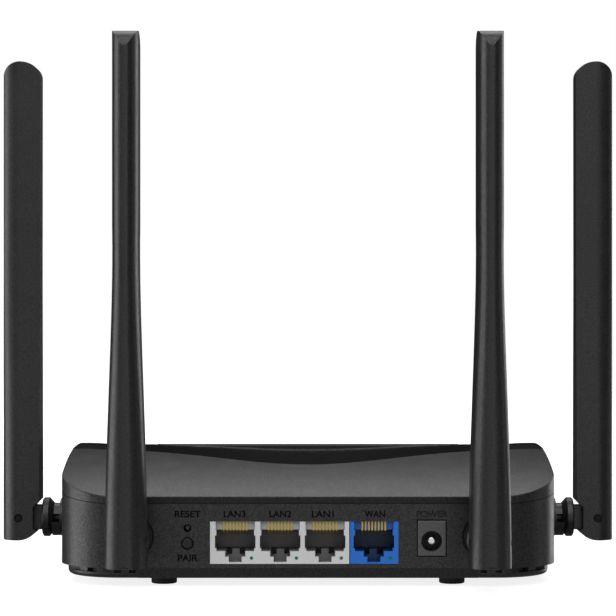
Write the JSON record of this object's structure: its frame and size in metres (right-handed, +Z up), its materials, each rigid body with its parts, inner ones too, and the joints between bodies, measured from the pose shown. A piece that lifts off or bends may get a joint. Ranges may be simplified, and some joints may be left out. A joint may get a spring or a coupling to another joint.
{
  "type": "wireless router",
  "caption": "Wi-Fi router with a crowned matte case, network jacks and power inlet in the rear wall, and folding paddle antennas at the rear and sides.",
  "frame": {"origin": "on the floor under the middle of the router's whole box, antennas upright", "axes": "+Z up; -Y out of the rear wall with the jacks; +X to the right seen from the rear"},
  "size_m": [0.207, 0.15, 0.1703],
  "materials": {
    "case_plastic": "fine grained matte",
    "deck_gloss": "satin gloss",
    "light_bar_tint": "smoked gloss",
    "foot_rubber": "matte",
    "screw_steel": "zinc plated",
    "board_green": "solder mask over glass epoxy",
    "jack_white": "satin",
    "jack_blue": "satin",
    "contact_gold": "gold plated",
    "led_green": "translucent",
    "led_white": "translucent",
    "power_jack_black": "satin",
    "pin_chrome": "polished",
    "button_plastic": "satin",
    "plunger_brown": "satin",
    "switch_black": "satin",
    "chip_black": "matte moulding",
    "inductor_grey": "ferrite",
    "capacitor_sleeve": "bare can",
    "can_tin": "tinned",
    "heatsink_aluminium": "extruded",
    "thermal_silicone": "soft matte",
    "guide_clear": "clear acrylic",
    "coax_jacket": "satin jacket",
    "coax_brass": "gold plated",
    "antenna_plastic": "fine grained matte",
    "knuckle_plastic": "satin",
    "hinge_steel": "black oxide",
    "radiator_board": "solder mask over glass epoxy"
  },
  "bodies": {
    "case": {"board_screws": "screw_steel", "bottom_case": "case_plastic", "capacitors": "capacitor_sleeve", "case_screws": "screw_steel", "coax_plugs": "coax_brass", "coax_rear_left": "coax_jacket", "coax_rear_right": "coax_jacket", "coax_side_left": "coax_jacket", "coax_side_right": "coax_jacket", "crystals": "can_tin", "dc_jack_body": "power_jack_black", "dc_jack_pin": "pin_chrome", "deck_panel": "deck_gloss", "foot_front_left": "foot_rubber", "foot_front_right": "foot_rubber", "foot_rear_left": "foot_rubber", "foot_rear_right": "foot_rubber", "heatsink": "heatsink_aluminium", "lan_contacts": "contact_gold", "lan_jack_block": "jack_white", "light_bar": "light_bar_tint", "light_guide": "guide_clear", "magnetics": "chip_black", "main_board": "board_green", "memory_chips": "chip_black", "pair_switch": "switch_black", "port_leds": "led_green", "power_inductor": "inductor_grey", "reset_switch": "switch_black", "shield_can": "can_tin", "soc_chip": "chip_black", "status_leds": "led_white", "thermal_pad": "thermal_silicone", "top_cover": "case_plastic", "wan_contacts": "contact_gold", "wan_jack": "jack_blue", "wifi_chip": "chip_black"},
    "pair_button": {"pair_button": "button_plastic"},
    "reset_plunger": {"reset_plunger": "plunger_brown"},
    "rear_left_swivel_body": {"rear_left_knuckle": "knuckle_plastic"},
    "rear_left_tilt_body": {"rear_left_blade": "antenna_plastic", "rear_left_hinge_pin": "hinge_steel", "rear_left_radiator": "radiator_board"},
    "rear_right_swivel_body": {"rear_right_knuckle": "knuckle_plastic"},
    "rear_right_tilt_body": {"rear_right_blade": "antenna_plastic", "rear_right_hinge_pin": "hinge_steel", "rear_right_radiator": "radiator_board"},
    "side_left_swivel_body": {"side_left_knuckle": "knuckle_plastic"},
    "side_left_tilt_body": {"side_left_blade": "antenna_plastic", "side_left_hinge_pin": "hinge_steel", "side_left_radiator": "radiator_board"},
    "side_right_swivel_body": {"side_right_knuckle": "knuckle_plastic"},
    "side_right_tilt_body": {"side_right_blade": "antenna_plastic", "side_right_hinge_pin": "hinge_steel", "side_right_radiator": "radiator_board"}
  },
  "joints": [
    {"name": "rear_left_swivel", "type": "hinge", "parent": "case", "child": "rear_left_swivel_body", "pos_m": [-0.0551, -0.04995, 0.0158], "axis": [0, -1, 0], "range_deg": [-15, 90]},
    {"name": "rear_left_tilt", "type": "hinge", "parent": "rear_left_swivel_body", "child": "rear_left_tilt_body", "pos_m": [-0.0551, -0.06945, 0.0158], "axis": [1, 0, 0], "range_deg": [0, 90]},
    {"name": "rear_right_swivel", "type": "hinge", "parent": "case", "child": "rear_right_swivel_body", "pos_m": [0.0551, -0.04995, 0.0158], "axis": [0, 1, 0], "range_deg": [-15, 90]},
    {"name": "rear_right_tilt", "type": "hinge", "parent": "rear_right_swivel_body", "child": "rear_right_tilt_body", "pos_m": [0.0551, -0.06945, 0.0158], "axis": [1, 0, 0], "range_deg": [0, 90]},
    {"name": "side_left_swivel", "type": "hinge", "parent": "case", "child": "side_left_swivel_body", "pos_m": [-0.07835, 0.01895, 0.0158], "axis": [-1, 0, 0], "range_deg": [-90, 90]},
    {"name": "side_left_tilt", "type": "hinge", "parent": "side_left_swivel_body", "child": "side_left_tilt_body", "pos_m": [-0.09785, 0.01895, 0.0158], "axis": [0, -1, 0], "range_deg": [0, 90]},
    {"name": "side_right_swivel", "type": "hinge", "parent": "case", "child": "side_right_swivel_body", "pos_m": [0.07835, 0.01895, 0.0158], "axis": [-1, 0, 0], "range_deg": [-90, 90]},
    {"name": "side_right_tilt", "type": "hinge", "parent": "side_right_swivel_body", "child": "side_right_tilt_body", "pos_m": [0.09785, 0.01895, 0.0158], "axis": [0, 1, 0], "range_deg": [0, 90]},
    {"name": "pair_button_press", "type": "slide", "parent": "case", "child": "pair_button", "axis": [0, 1, 0], "range_m": [0, 0.0006], "stiffness_N_per_m": 600},
    {"name": "reset_press", "type": "slide", "parent": "case", "child": "reset_plunger", "axis": [0, 1, 0], "range_m": [0, 0.0003], "stiffness_N_per_m": 600}
  ]
}
